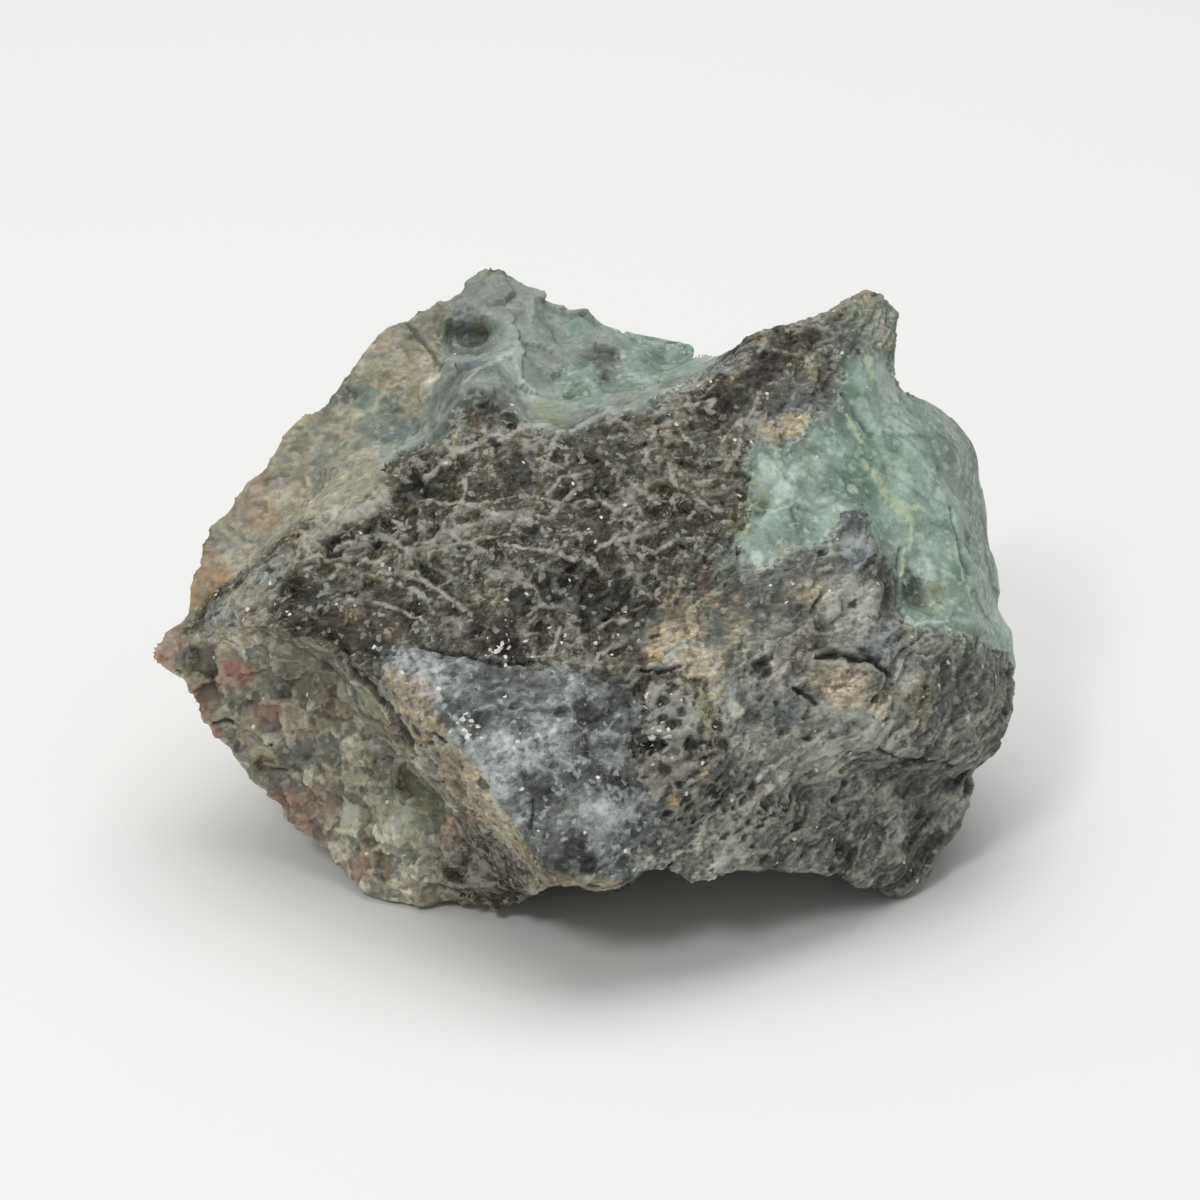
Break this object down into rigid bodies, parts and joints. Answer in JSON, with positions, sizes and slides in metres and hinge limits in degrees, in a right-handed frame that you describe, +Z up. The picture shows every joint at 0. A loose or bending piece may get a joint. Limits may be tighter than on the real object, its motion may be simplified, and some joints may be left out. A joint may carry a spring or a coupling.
{
  "type": "rough emerald in mica schist",
  "caption": "Broken lump of rough emerald grown into dark mica schist, with two blunt peaks, an overhung hollow and small flat spots to rest on.",
  "frame": {"origin": "middle of the lump's bounding box, on the surface that it rests on", "axes": "+X along the longest side, from the pink tip to the green end; +Y away from the viewer of the best side; +Z up"},
  "size_m": [0.0544, 0.0442, 0.0318],
  "materials": {
    "emerald_schist": "rough broken rock: near-black and grey mica schist with small glossy flakes, translucent green emerald, and grainy pink, ochre and grey-green feldspar"
  },
  "bodies": {
    "root": {"rough_emerald": "emerald_schist"}
  },
  "joints": []
}
